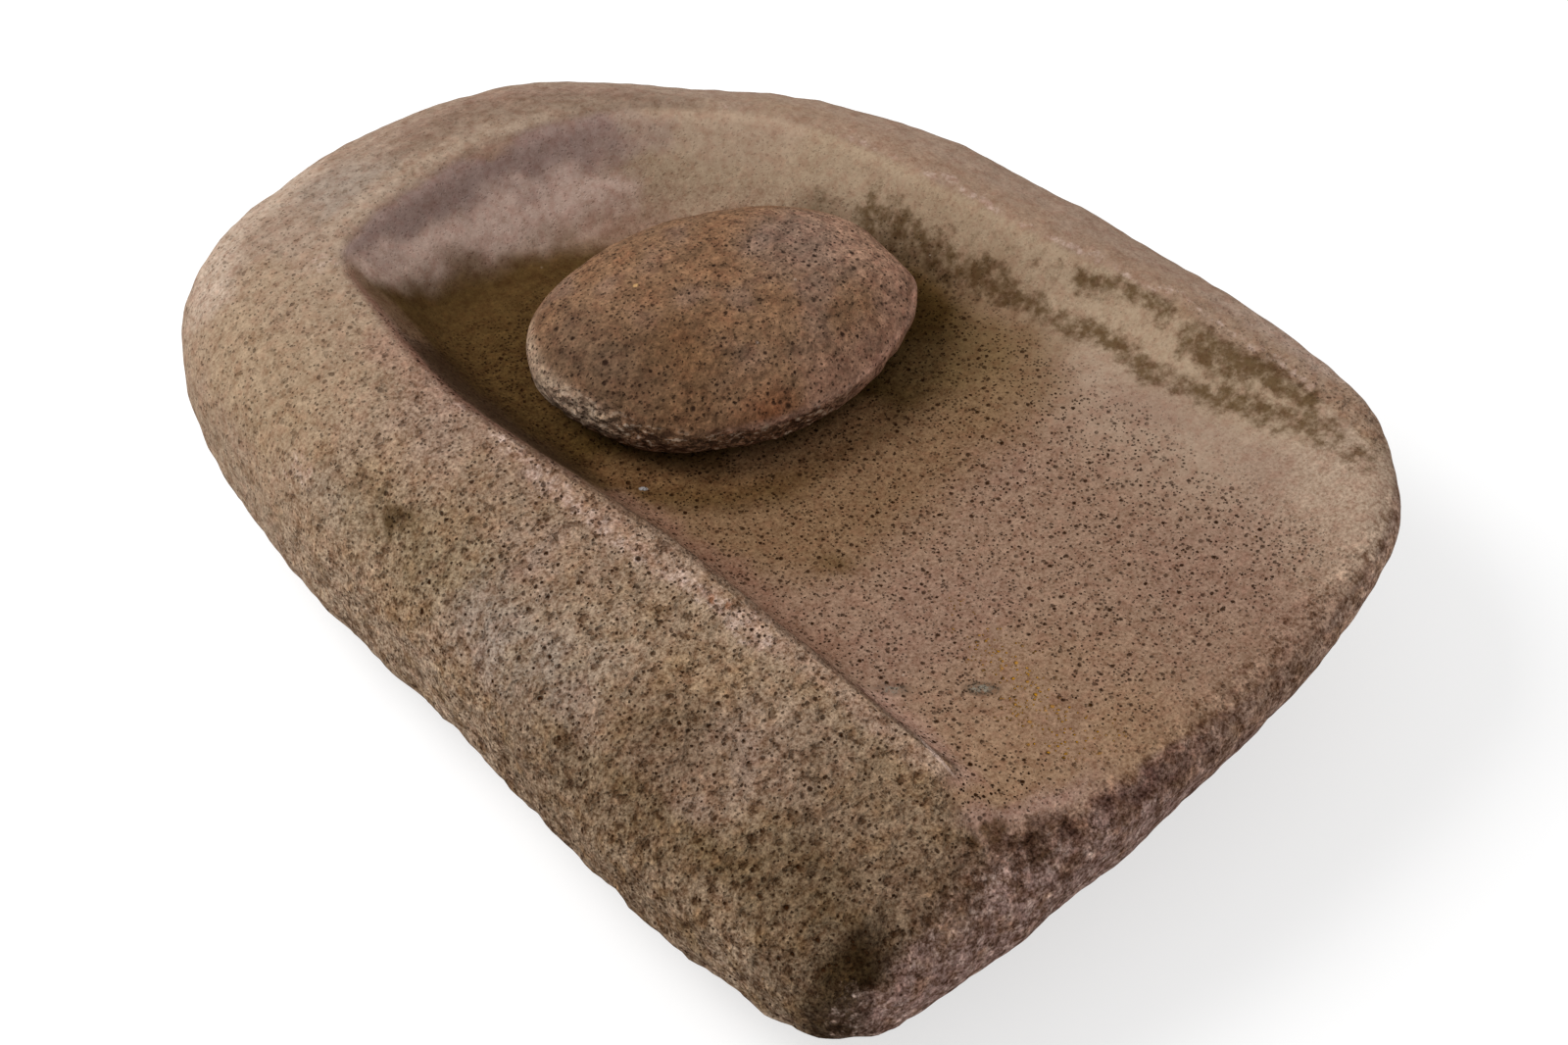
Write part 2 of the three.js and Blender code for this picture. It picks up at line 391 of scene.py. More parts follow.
# Middle of each dent, its radius and how deep it goes, less than 0 for a bump, all in millimetres
dents = [
    ((-145, 33, 89), 10, 1.5), ((160, -100, 88), 40, 1.7), ((158, -40, 91), 28, 3.0),
    ((148, 15, 93), 30, 2.1), ((125, 85, 98), 35, 1.6), ((84, 147, 98), 28, 2.0),
    ((33, 196, 92), 24, -2.2), ((-30, 207, 92), 45, -0.9), ((-120, 192, 80), 34, -1.3),
    ((-150, 152, 48), 20, 1.8), ((-160, 60, 38), 45, -1.2), ((-163, -13, 36), 14, 1.6),
    ((-153, -201, 36), 26, 2.0), ((-110, -217, 43), 34, 0.8), ((-64, -220, 48), 20, 1.6),
    ((35, -217, 63), 20, 0.8), ((107, -201, 84), 24, -3.4), ((60, 176, 95), 25, 1.5),
    ((140, -160, 75), 20, -2.8), ((125, -188, 80), 18, -2.0)]
standing = ease(0.001, 0.012, np.where(from_rim > 0, metate_grid[..., 2], 1))
relief = skin_relief * lumpiness[:, None] * (1 - inside) * standing + np.minimum(floor_relief, 0) * inside
relief = relief - sunk(metate_grid, dents)
metate_grid = metate_grid + grid_normals(metate_grid) * (relief * millimetre)[..., None]
metate_grid[..., 2] = np.maximum(metate_grid[..., 2], 0)
print("relief from", relief.min().round(2), "to", relief.max().round(2), "mm")

# %% [markdown]
# The colour of an old metate is a map of its use. Flour, hands and damp have stained it in bands, so
# its stains are named marks at measured places, each painted over the one before it. Some marks are
# painted light and painted shade instead, and say so where they stand. A ribbon follows a path in plan,
# an area fills a closed path and a blob is an oval. Noise pushes their edges about.

# %% Tools for painting marks
def linear(hex_colour):
    """An sRGB hex colour as linear red, green and blue: 12.92 below 0.04045, else a power of 2.4."""
    shares = np.array([int(hex_colour[at:at + 2], 16) for at in (1, 3, 5)]) / 255
    return np.where(shares <= 0.04045, shares / 12.92, ((shares + 0.055) / 1.055) ** 2.4)


def corners_of(path):
    """The corners of a path in plan, which is written as x,y pairs in millimetres."""
    return np.array([pair.split(",") for pair in path.split()], float)


def distance_to(points, starts, ends):
    """The distance in plan to the nearest of some straight stretches."""
    nearest = np.inf
    for start, step in zip(starts, ends - starts):
        apart = points[..., :2] - start
        along = np.clip((apart * step).sum(-1) / (step ** 2).sum(), 0, 1)
        nearest = np.minimum(nearest, np.linalg.norm(apart - along[..., None] * step, axis=-1))
    return nearest


def ribbon(points, path, half_width, soft=0.6):
    """1 along a path and 0 beyond its half width: the distance to the path, eased."""
    corners = corners_of(path)
    away = distance_to(points, corners[:-1], corners[1:]) / half_width
    return 1 - ease(1 - soft, 1 + soft, away)


def blob(points, middle, radii, soft=0.6):
    """1 inside an oval and 0 outside: the distance from its middle in shares of its three radii, eased."""
    away = np.linalg.norm((points - middle) / radii, axis=-1)
    return 1 - ease(1 - soft, 1 + soft, away)


def area(points, path, soft):
    """1 inside a closed path and 0 outside: the distance to its nearest side, eased over soft millimetres."""
    starts = corners_of(path)
    ends = np.roll(starts, -1, 0)
    within = np.zeros(points.shape[:-1], bool)
    for (start_across, start_along), (end_across, end_along) in zip(starts, ends):
        if start_along != end_along:
            beside = (start_along > points[..., 1]) != (end_along > points[..., 1])
            way = (points[..., 1] - start_along) / (end_along - start_along)
            within ^= beside & (points[..., 0] < start_across + way * (end_across - start_across))
    nearest = distance_to(points, starts, ends)
    return ease(-soft, soft, np.where(within, nearest, -nearest))


def paint(base, marks):
    """Lays marks over a base colour in turn: a point moves to a mark's colour by strength times amount."""
    tint = linear(base)
    for colour, strength, amount in marks:
        tint = tint + (linear(colour) - tint) * np.clip(strength * amount, 0, 1)[..., None]
    return tint


# %% Where each point of the metate is, in millimetres
mm_points = metate_grid * 1000
shift = np.stack([noise(metate_grid, 0.016, 21 + axis) * 5 + noise(metate_grid, 0.006, 31 + axis) * 2.5
                  for axis in range(3)], -1)
spot = mm_points + shift
across, along, height = spot.transpose(2, 0, 1)
rim_mm = from_rim * 1000 + shift[..., 0]
slow = noise(metate_grid, 0.045, 41)
cloudy = noise(metate_grid, 0.020, 42)
to_back = ease(60, 150, along)
to_right = ease(60, 115, across)

# The worn floor runs on over the lip of the open end, down to this line, and the end face starts there
lip_line = corners_of("-165,-195 -130,-206 -104,-203 -85,-197 -66,-205 -45,-209 -17,-208 16,-203 43,-202 "
                      "77,-199 100,-197 120,-192 140,-180 160,-160")
past_lip = np.interp(across, *lip_line.T) - along
to_front = ease(-3, 6, past_lip)
over_lip = ease(-92, -82, across) * ease(168, 180, -along) * (1 - to_front)
outside = ease(-2, 2.5, from_rim * 1000) * (1 - over_lip)
lip_drop = floor_at(metate_grid[..., 0], metate_grid[..., 1]) * 1000 - height
to_the_right = ease(-50, 40, across)
below_lip = ease(5 + 8 * to_the_right, 11 + 14 * to_the_right, lip_drop)
dark_lip = to_front * ease(-3, 1, lip_drop) * (1 - below_lip)
low_down = 1 - ease(35, 85, height)

# %% Paint the metate's skin
gentle = mm_points + 0.45 * shift
# The high right side, where painted light goes
painted_light_flank = to_right * ease(60, 80, height)
corner_stain = area(gentle, "-137,-196 -138,-205 -147,-212 -158,-215 -167,-205 -161,-194 -148,-193", 5)
skin_marks = [
    ("#8f786c", 0.6, ease(-0.1, 0.5, slow)),
    ("#967c60", 0.6, ease(-0.1, 0.5, -cloudy)),
    # Lighter and greyer low down: painted light from below on the lower flanks
    ("#978371", 0.8, low_down),
    ("#958070", 0.85, to_back * ease(45, 90, height)),
    ("#9a806c", 0.9, to_right * (1 - to_back) * ease(-4, 3, rim_mm)),
    # Lighter towards the right outline: painted light on the side that turns away from the lamp
    ("#9c8574", 0.7, painted_light_flank * ease(9, 22, rim_mm)),
    ("#b0998a", 0.6, painted_light_flank * ease(14, 26, rim_mm) * ease(60, 110, -along)),
    ("#978372", 0.8, blob(spot, (-104, 140, 102), (30, 44, 30))),
    ("#978168", 0.8, blob(spot, (-140, 116, 90), (20, 46, 26))),
    ("#98826b", 0.7, area(spot, "-134,172 -108,167 -92,139 -99,92 -120,65 -141,85 -153,129", 12)),
    ("#8f8276", 0.6, area(spot, "-71,195 -46,191 -31,172 -52,155 -76,167", 9)),
    ("#8b7263", 0.75, ribbon(spot, "-19,186 13,186 39,168 57,147", 8)),
    ("#a08b78", 0.5, ribbon(spot, "-95,150 -70,158 -30,166 10,164 40,150", 7)),
    ("#7e6a5a", 0.65, ribbon(spot, "-30,180 3,180 35,160 66,128", 9)),
    # Lighter along the back-left outline: painted light
    ("#ae9b8a", 0.8, ribbon(spot, "-60,205 -105,193 -128,172", 9)),
    ("#8a7c6c", 0.5, blob(spot, (-150, 60, 84), (10, 14, 12))),
    ("#807058", 0.6, blob(spot, (-144, 14, 89), (18, 34, 12))),
    ("#8d7f73", 0.75, blob(spot, (-146, -42, 84), (18, 34, 16))),
    ("#94816f", 0.6, blob(spot, (-124, -62, 94), (14, 20, 12))),
    ("#8a7366", 0.5, blob(spot, (-150, -75, 82), (8, 14, 10))),
    ("#927c6d", 0.6, blob(spot, (-114, -140, 90), (16, 26, 14))),
    ("#7b6650", 0.7, blob(spot, (-112, -170, 84), (24, 34, 24))),
    ("#6f5a45", 0.6, blob(spot, (-132, -185, 58), (18, 18, 24))),
    ("#6c5a42", 0.8, ribbon(spot, "-161,-80 -162,-95 -158,-125 -152,-150", 9)),
    ("#6b5744", 0.7, blob(spot, (-137, -106, 88), (17, 20, 16))),
    ("#8d7b6a", 0.6, blob(spot, (-157, -56, 78), (12, 24, 12))),
    ("#66543e", 0.8, blob(spot, (-142, -172, 78), (20, 26, 16))),
    ("#937f6b", 0.8, ease(130, 150, -across) * (1 - ease(56, 68, height))),
    ("#705c44", 0.6, ribbon(spot, "-140,92 -146,60 -148,30 -150,0", 7) * (1 - ease(70, 84, height))),
    ("#8f7160", 0.6, ribbon(spot, "-104,90 -106,50 -101,0 -95,-30", 6)),
    ("#a58b7a", 0.6, ribbon(gentle, "-97,-30 -92,-60 -87,-110 -82,-150 -80,-172", 5)),
    ("#8d7868", 0.5, blob(spot, (-115, 28, 102), (20, 44, 14))),
    ("#7d6955", 0.75, ribbon(spot, "-166,-52 -168,-110 -166,-150", 9)),
    ("#685643", 0.7, blob(spot, (-158, -186, 56), (13, 16, 18))),
    ("#8a7068", 0.95, to_front),
    ("#775f56", 0.6, to_front * ease(-0.1, 0.4, slow)),
    ("#7a6050", 0.5, dark_lip * (1 - 0.6 * to_the_right)),
    # Lighter on the right of the end face and its lip: painted light where the face lies in shade
    ("#957b69", 0.7, dark_lip * to_the_right),
    ("#a68b7b", 0.85, to_front * ease(45, 85, across)),
    ("#6b5543", 0.7, blob(spot, (-110, -203, 74), (16, 12, 16))),
    ("#5c4636", 0.5, ribbon(spot, "-92,-202 -78,-208 -62,-211", 5)),
    ("#33261a", 0.9, blob(spot, (-139, -200, 70), (10, 10, 9))),
    ("#382a17", 0.9, corner_stain),
]

# %% Paint the metate's hollow
# The dark floor round the mano: stained, and also painted shade where the mano and the left wall shade it
stain_and_shade = area(gentle, "-86,130 -65,134 -42,131 -25,130 -3,126 15,113 34,97 58,82 83,66 89,42 94,15 93,-12 "
                     "80,-27 60,-38 34,-39 5,-39 -28,-43 -56,-26 -78,0 -84,40 -86,79", 9)
hollow_marks = [
    ("#ac9682", 0.9, ease(50, 125, across)),
    ("#947659", 0.6, ease(120, 190, -along) * (1 - ease(-20, 30, across))),
    ("#8c7060", 0.5, ease(0, 0.5, slow)),
    ("#a69078", 0.9, ribbon(spot, "60,128 90,92 110,38 122,-20 132,-82 136,-125", 22)),
    ("#957e66", 0.5, ribbon(spot, "96,24 104,-10", 12)),
    # The pink band on the back wall, painted lighter: its own pink plus painted light on a wall that faces
    # away from the lamp
    ("#c6ab9d", 0.95, area(spot, "-84,137 -70,145 -15,150 22,143 40,120 14,125 -35,131 -62,130 -82,127", 6)),
    ("#8f7972", 0.85, area(spot, "-90,148 -53,158 -24,161 3,158 28,151 50,142 64,130 60,122 41,130 11,141 "
                                 "-15,145 -43,146 -72,141 -90,137", 5)),
    ("#8b6c54", 0.5, ribbon(spot, "-80,149 -56,155 -34,159 -17,158 2,156", 2.5)),
    ("#ab937f", 0.6, ribbon(spot, "50,140 75,118 92,92", 10)),
    ("#765b3f", 0.8, area(spot, "-95,19 -90,-31 -71,-57 -46,-80 -13,-84 36,-75 80,-70 100,-51 104,-16 88,20 "
                                "-60,40", 16)),
    ("#7d6449", 0.6, blob(spot, (74, -48, 78), (26, 18, 16))),
    # Dark brown round the mano: stained floor and painted shade together
    ("#493516", 0.95, stain_and_shade),
    # Lighter in front of the mano's right end: painted light that thins the mano's shadow on the floor
    ("#6b5538", 0.75, blob(spot, (66, -30, 78), (26, 16, 14))),
    # Darker still along the foot of the left wall: stained, and painted shade cast by the wall
    ("#33220f", 0.9, ribbon(gentle, "-88,84 -90,60 -89,40 -86,16", 13, 0.9)),
    ("#6d543e", 0.8, ribbon(gentle, "-86,120 -87,102", 6)),
    # Lighter along the mano's near edge: painted light that thins its shadow on the floor
    ("#7f5f42", 0.55, ribbon(gentle, "-64,8 -52,-6 -36,-20 -18,-30 0,-34 16,-33", 9, 0.9)),
    ("#8a6a4c", 0.7, ribbon(gentle, "-26,-18 -8,-26 10,-28 26,-29", 7, 0.9)),
    ("#5f4829", 0.7, blob(spot, (-39, -78, 80), (7, 7, 12))),
    ("#80614f", 0.8, ribbon(spot, "-74,-5 -70,-60 -70,-108", 7)),
    ("#a38373", 0.8, ribbon(spot, "-73,-136 -76,-176", 7)),
    ("#846252", 0.85, ribbon(gentle, "-93,132 -99,100 -102,60 -98,0 -88,-60 -82,-112 -79,-135", 4)),
    ("#997c6f", 0.8, ease(-12, -3, past_lip) * (1 - ease(-60, -20, across))),
]
skin_tint = paint("#937d67", skin_marks)
hollow_tint = paint("#8f7461", hollow_marks)
tint = hollow_tint + (skin_tint - hollow_tint) * outside[..., None]
print("painted", len(skin_marks) + len(hollow_marks), "marks on", across.size, "points")

# %% Masks that the material breaks up
grime_paths = [
    (1.0, gentle, "90,40 98,10 101,-9 104,-25 108,-38 110,-53 114,-68 112,-85 116,-104 124,-122 127,-136 "
                  "134,-154", 6.5),
    (0.5, gentle, "113,-14 120,-36", 5),
    (1.0, gentle, "123,-40 130,-56 131,-74", 5),
    (1.15, gentle, "131,-90 133,-105 139,-122 139,-139", 7),
    (0.9, gentle, "126,-104 131,-118", 5),
    (0.8, gentle, "123,-132 129,-150 130,-172", 7),
    (0.4, gentle, "111,2 118,-18", 5),
    (0.6, gentle, "86,66 88,59", 3.5),
    (1.0, gentle, "94,46 97,22 96,4", 6),
    (0.8, spot, "-88,-198 -72,-209", 6),
    (0.4, spot, "-30,-214 -10,-213 20,-208", 6),
    (0.6, spot, "-141,70 -146,40 -149,5", 8)]
grime = np.max([strength * ribbon(points, path, half_width, 0.9)
                for strength, points, path, half_width in grime_paths] + [
    1.1 * blob(spot, (-145, 33, 89), (6, 8, 9), 0.9),
    1.3 * blob(gentle, (-81, -199, 79), (5, 4, 9)),
    0.95 * blob(gentle, (-73, -213, 75), (7, 4, 9)),
], 0)
chalk = np.max([
    0.9 * ribbon(spot, "108,45 114,25 123,-20 126,-36 135,-54 136,-62", 3, 0.9),
    0.7 * ribbon(spot, "136,-62 141,-80 143,-97 147,-134", 3, 0.9),
    0.8 * ribbon(spot, "-83,127 -90,95 -98,60 -101,20 -102,-10 -96,-50 -94,-72 -90,-100", 5, 0.9),
    0.9 * blob(spot, (-95, -72, 98), (6, 10, 6), 0.9),
    0.9 * blob(spot, (95, 62, 98), (14, 18, 12)),
    0.7 * blob(spot, (72, 108, 98), (16, 12, 12)),
    0.5 * blob(spot, (-92, 146, 106), (10, 10, 12)),
    0.7 * blob(spot, (-150, 78, 84), (7, 10, 9)),
    0.6 * to_front * (1 - 0.7 * dark_lip),
], 0) * outside
lip = 0.8 * dark_lip * (1 - 0.5 * to_the_right) * (1 - 0.7 * ease(45, 85, across))
ochre = np.max([
    0.85 * blob(spot, (-26, -152, 80), (9, 22, 14), 0.9),
    1.0 * blob(spot, (-35, -180, 80), (12, 17, 14), 0.9),
    0.7 * blob(spot, (-26, -197, 80), (9, 7, 12), 0.9),
    0.6 * blob(spot, (-19, -121, 80), (6, 6, 12), 0.9),
], 0)
far_out = np.hypot(np.clip(across - 10, 0, None) / 90, np.clip(along, 0, None) / 112)
polished = ease(0.80, 1.05, far_out)
left_wall = (1 - outside) * ease(-14, -4, from_rim * 1000) * (1 - ease(-70, -50, across))
near_lip = ease(-14, -4, past_lip)
open_pores = (1 - outside) * (1 - 0.85 * polished) * (1 - 0.5 * near_lip) * (1 + 0.6 * left_wall)
crumbly = 0.62 + 0.38 * (1 - ease(62, 94, height))
rough_round = by_angle([(-180, 0.9), (-150, 1), (-60, 1), (-40, 0.5), (-20, 0.2), (90, 0.2), (130, 0.25),
                        (150, 0.4), (168, 0.75)])
pits_round = by_angle([(-180, 1), (-60, 1), (-45, 0.6), (-25, 0.12), (60, 0.15), (100, 0.3), (125, 0.55),
                       (150, 0.7)])
rough = outside * crumbly * rough_round[:, None]
pits = outside * pits_round[:, None] * (1 - 0.6 * to_front)
dull_back = 0.75 * ease(70, 135, along) * ease(-125, -85, across)
dull_right = 0.65 * ease(45, 90, across) * ease(-190, -120, along)
dull_end = 0.45 * outside * ease(60, 110, along) * (1 - ease(-125, -85, across))
crisp = np.clip(1 - dull_back - dull_right - dull_end, 0.2, 1)
mottled = 0.25 + 0.10 * outside + 0.95 * to_front + 0.45 * low_down * outside + 0.2 * stain_and_shade * (1 - outside)
mottled = np.clip(mottled - 0.15 * to_right, 0, 1.3)


# %% [markdown]
# A grid becomes a mesh by joining each point to the next one round and the next one down. The two ends
# close on single points, so the stone is one watertight skin, as its solid is.

# %% Grid to mesh
def grid_piece(name, grid, first_pole, last_pole, paints):
    """A closed mesh from rings of points: grid[around, row], with a fan to a single point at each end."""
    around, rows = grid.shape[:2]
    points = np.concatenate([grid.reshape(-1, 3), [first_pole, last_pole]])
    here = np.arange(around)[:, None] * rows + np.arange(rows - 1)
    there = (np.arange(around)[:, None] + 1) % around * rows + np.arange(rows - 1)
    quads = np.stack([here, here + 1, there + 1, there], -1).reshape(-1, 4)
    ring = np.arange(around) * rows
    ring_next = np.roll(ring, -1)
    first_fan = np.stack([np.full(around, around * rows), ring, ring_next], -1)
    last_fan = np.stack([np.full(around, around * rows + 1), ring_next + rows - 1, ring + rows - 1], -1)
    mesh = bpy.data.meshes.new(name)
    mesh.from_pydata(points.tolist(), [], [*quads.tolist(), *first_fan.tolist(), *last_fan.tolist()])
    mesh.shade_smooth()
    for label, values in paints.items():
        ends = np.stack([values[:, 0].mean(0), values[:, -1].mean(0)])
        values = np.concatenate([values.reshape(-1, *values.shape[2:]), ends])
        kind, field = ("FLOAT", "value") if values.ndim == 1 else ("FLOAT_COLOR", "color")
        if field == "color":
            values = np.column_stack([values, np.ones(len(values))])
        mesh.attributes.new(label, kind, "POINT").data.foreach_set(field, values.ravel())
    piece = bpy.data.objects.new(name, mesh)
    bpy.context.scene.collection.objects.link(piece)
    print(name, len(points), "points", 2 * len(quads) + 2 * around, "triangles")
    return piece


metate_paints = {"tint": tint, "open_pores": open_pores, "rough": rough, "pits": pits, "crisp": crisp,
                 "mottled": mottled, "grime": grime, "chalk": chalk, "ochre": ochre, "lip": lip}
metate_piece = grid_piece("metate_stone", metate_grid, metate_grid[:, 0].mean(0), (0, 0, 0), metate_paints)

# %% [markdown]
# The mano is an oval stone, flat where it grinds and domed where the palm sits. Its outline is one
# closed curve, and each ring above or below the widest line shrinks it along a quarter of a superellipse.

# %% The mano's shape
mano_length = 0.146
mano_width = 0.115
mano_thickness = 0.044
mano_across = 0.003
mano_turn = np.radians(-18)
mano_top_flat = 2.8
mano_top_edge = 1.5
mano_under_power = 2.7
mano_belly_share = 0.46
rest_gap = 0.0003
mano_shares = [
    (1, 0), (0.93, 0.47), (0.66, 0.81), (0.3, 0.97), (-0.12, 1), (-0.52, 0.87), (-0.86, 0.57), (-1, 0.15),
    (-0.95, -0.27), (-0.74, -0.65), (-0.45, -0.93), (-0.06, -1.04), (0.34, -0.94), (0.69, -0.68),
    (0.95, -0.34)]
mano_around = 480
mano_rows = 90

mano_outline = fit_plan(closed_line(mano_shares, fine_turns), mano_length, mano_width)
mano_turns = even_turns(mano_outline, mano_around)[0]
mano_plan = np.stack([np.interp(mano_turns, fine_turns, line, period=1) for line in mano_outline.T], -1)


def mano_half(flat, edge, depth, rows):
    """Rings from the widest line to a pole: reach is a power of a cosine and height a power of the sine."""
    turn = np.pi / 2 * np.arange(rows) / rows
    rings = mano_plan[:, None] * (np.cos(turn) ** (2 / flat))[None, :, None]
    heights = np.broadcast_to(depth * np.sin(turn) ** (2 / edge), rings.shape[:2])
    return np.concatenate([rings, heights[..., None]], -1)


below = mano_half(mano_under_power, mano_under_power, -mano_thickness * mano_belly_share, mano_rows // 2)
above = mano_half(mano_top_flat, mano_top_edge, mano_thickness * (1 - mano_belly_share), mano_rows)
mano_grid = np.concatenate([above[:, ::-1], below[:, 1:]], 1)
print("mano grid", mano_grid.shape)

# %% Relief and paint of the mano
turn_cos, turn_sin = np.cos(mano_turn), np.sin(mano_turn)
turned = mano_grid @ np.array(((turn_cos, turn_sin, 0), (-turn_sin, turn_cos, 0), (0, 0, 1)))
mano_height = floor_at(mano_across, mano_along) + rest_gap + mano_thickness * mano_belly_share
mano_placed = turned + (mano_across, mano_along, mano_height)
near_side = ease(-8, 10, mano_placed @ np.array((-0.67, -0.74, 0)) * 1000 - 12)
flake_top = 0.002 + 0.004 * ease(0.048, 0.066, -mano_placed[..., 0])
mano_z = mano_grid[..., 2]
flaked = near_side * ease(-0.014, -0.009, mano_z) * (1 - ease(-0.004, 0.003, mano_z - flake_top))
mano_relief = hills(mano_grid, [(0.045, 0.9), (0.018, 0.45), (0.008, 0.25), (0.004, 0.12)], 50)
mano_relief = mano_relief - flaked * (0.4 + 2.4 * np.abs(noise(mano_grid, 0.007, 58)))
mano_chips = [
    ((64, -10, 97.5), 4, 2.2), ((40, -23, 90), 4, 1.2), ((16, -30, 91.5), 3.5, 1.2),
    ((-6, -30, 90.5), 4.5, 1.0), ((-55, 5, 90), 20, -2.0), ((-66, 40, 94), 22, -1.5),
    ((-50, 70, 96), 22, -0.8), ((71, -6, 95), 14, -1.3)]
mano_relief = mano_relief - sunk(mano_placed, mano_chips)
mano_offset = mano_placed - (mano_across, mano_along, mano_height)
left_end = ease(0.80, 0.95, mano_offset @ np.array((-0.98, 0.17, 0)) / 0.070)
chalky_end = left_end * ease(-0.010, -0.006, mano_z) * (1 - ease(0.003, 0.008, mano_z))
right_side = ease(0.1, 0.6, mano_offset @ np.array((0.55, -0.835, 0)) / 0.05)
ridge_highlight = right_side * np.exp(-((mano_z - 0.0015) / 0.0018) ** 2)
mano_relief = np.where(mano_z < -0.012, np.minimum(mano_relief, 0), mano_relief)
mano_placed = mano_placed + grid_normals(mano_placed) * (mano_relief * millimetre)[..., None]

mano_shift = np.stack([noise(mano_placed, 0.010, 61 + axis) * 4 for axis in range(3)], -1)
mano_spot = mano_placed * 1000 + mano_shift
mano_slow = noise(mano_grid, 0.015, 65)
mano_marks = [
    ("#7b6253", 0.6, ease(0, 0.5, mano_slow)),
    ("#7d5a40", 0.5, ease(0, 0.5, -mano_slow)),
    ("#62472f", 0.8, blob(mano_spot, (-38, 12, 108), (26, 20, 18))),
    ("#846d60", 0.7, blob(mano_spot, (44, 24, 116), (24, 22, 14))),
    ("#5f4a39", 0.75, blob(mano_spot, (-52, 34, 105), (20, 28, 14))),
    ("#a37f69", 0.75, blob(mano_spot, (62, 8, 104), (18, 32, 18))),
    ("#7d4f33", 0.8, blob(mano_spot, (-22, -24, 96), (12, 8, 12))),
    ("#987460", 0.8, ribbon(mano_spot, "4,-30 30,-30 55,-18 72,-2", 10)),
    # A light line along the mano's lower right edge: painted highlight
    ("#b9917d", 0.85, ridge_highlight),
    ("#775942", 0.8, flaked),
    ("#a8917b", 0.75, chalky_end),
    # Dark brown low on the mano, near the floor: painted shade under the stone
    ("#3d2a20", 0.8, 1 - ease(78, 85, mano_spot[..., 2])),
]
mano_paints = {"tint": paint("#7d5f47", mano_marks), "flaked": flaked}
mano_poles = mano_placed[:, (0, -1)].mean(0)
mano_piece = grid_piece("mano_stone", mano_placed, *mano_poles, mano_paints)

# %% Hang both pieces on the frame
for piece, body, material_slot in ((metate_piece, "metate", "metate_stone"),
                                   (mano_piece, "mano", "mano_stone")):
    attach(piece, body)
    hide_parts(body)
    print(piece.name, "rides on", body)


# %% [markdown]
# Both stones are volcanic and full of small gas pores. A material here is a chain of nodes, and one
# small function adds a node and joins it to the ones before it.

# %% The node helper
main_choice = {"Math": "operation", "VectorMath": "operation", "MapRange": "interpolation_type",
               "Mix": "data_type", "VectorRotate": "rotation_type"}


def add(tree, kind, *values, named={}, **settings):
    """Adds a node, sets its own fields and fills its sockets with values or with links to nodes.

    The kind may end in the node's main choice, as in "Math MULTIPLY". Values go to the sockets that the
    node shows, in their order, or by name. A hex colour becomes its four linear numbers."""
    kind, _, choice = kind.partition(" ")
    node = tree.nodes.new("ShaderNode" + kind)
    if choice:
        settings[main_choice[kind]] = choice
    for field, value in settings.items():
        setattr(node, field, value)
    shown = [socket for socket in node.inputs if socket.enabled]
    by_name = [(node.inputs[name], value) for name, value in named.items()]
    for socket, value in [*zip(shown, values), *by_name]:
        if isinstance(value, bpy.types.Node):
            value = next(output for output in value.outputs if output.enabled)
        if isinstance(value, bpy.types.NodeSocket):
            tree.links.new(value, socket)
        else:
            socket.default_value = (*linear(value), 1) if isinstance(value, str) else value
    return node


def new_material(name, piece):
    """An empty material on a piece. What it gives back adds a node to it."""
    material = bpy.data.materials.new(name)
    material.use_nodes = True
    material.node_tree.nodes.clear()
    piece.data.materials.clear()
    piece.data.materials.append(material)
    return partial(add, material.node_tree)


# %% [markdown]
# Ground and pecked andesite tuff. The ground floor shows its pores as dark dots 0.5 to 2 mm across on
# a flat pinkish brown. The pecked skin is granular: irregular pits 1 to 3 mm across between lighter
# grains. Pore size and spacing are in metres, and a texture's scale is one over its size.

# %% Patterns shared by both stones
def painted_masks(node, paints):
    """The colours and masks painted on the points, by name."""
    return {label: node("Attribute", attribute_name=label).outputs["Color" if label == "tint" else "Fac"]
            for label in paints}


def warp(node, vector, size, reach):
    """Pushes places about by a noise of one size, so that round shapes come out irregular."""
    push = node("TexNoise", vector, 1 / size, 2, 0.6)
    return node("VectorMath ADD", vector, node("VectorMath SCALE", push.outputs["Color"], reach))


def pores(node, vector, spacing, small, large):
    """Pores: a sphere about each Voronoi point, with radii from small to large and each darker or lighter."""
    cells = node("TexVoronoi", vector, 1 / spacing)
    pick = node("SeparateColor", cells.outputs["Color"])
    drawn = node("MapRange", pick.outputs["Red"], 0, 1, small / spacing, large / spacing)
    radius = node("Math MAXIMUM", drawn, 0.001)
    inner = node("Math MULTIPLY", radius, 0.4)
    dark = node("MapRange", pick.outputs["Green"], 0, 1, 0.62, 1.2)
    return node("MapRange SMOOTHSTEP", cells.outputs["Distance"], inner, radius, dark, 0)


def oval(node, vector, middle, radii, turn=0):
    """1 inside an oval and 0 outside, turned about the upright axis; middle and radii are in millimetres."""
    moved = node("VectorMath SUBTRACT", vector, Vector(middle) * millimetre)
    turned = node("VectorRotate Z_AXIS", moved, (0, 0, 0), -np.radians(turn))
    away = node("VectorMath LENGTH", node("VectorMath DIVIDE", turned, Vector(radii) * millimetre))
    return node("MapRange SMOOTHSTEP", away.outputs["Value"], 0.6, 1.15, 1, 0)


# %% Metate material: holes and grain
node = new_material("pecked_and_ground_tuff", metate_piece)
place = node("TexCoord").outputs["Object"]
painted = painted_masks(node, metate_paints)
warped = warp(node, place, 0.0012, 0.0010)
rugged = warp(node, place, 0.0030, 0.0022)
floor_pores = node("Math MAXIMUM", pores(node, warped, 0.0026, -0.0001, 0.00114),
                   pores(node, warped, 0.0014, 0.0001, 0.00066))

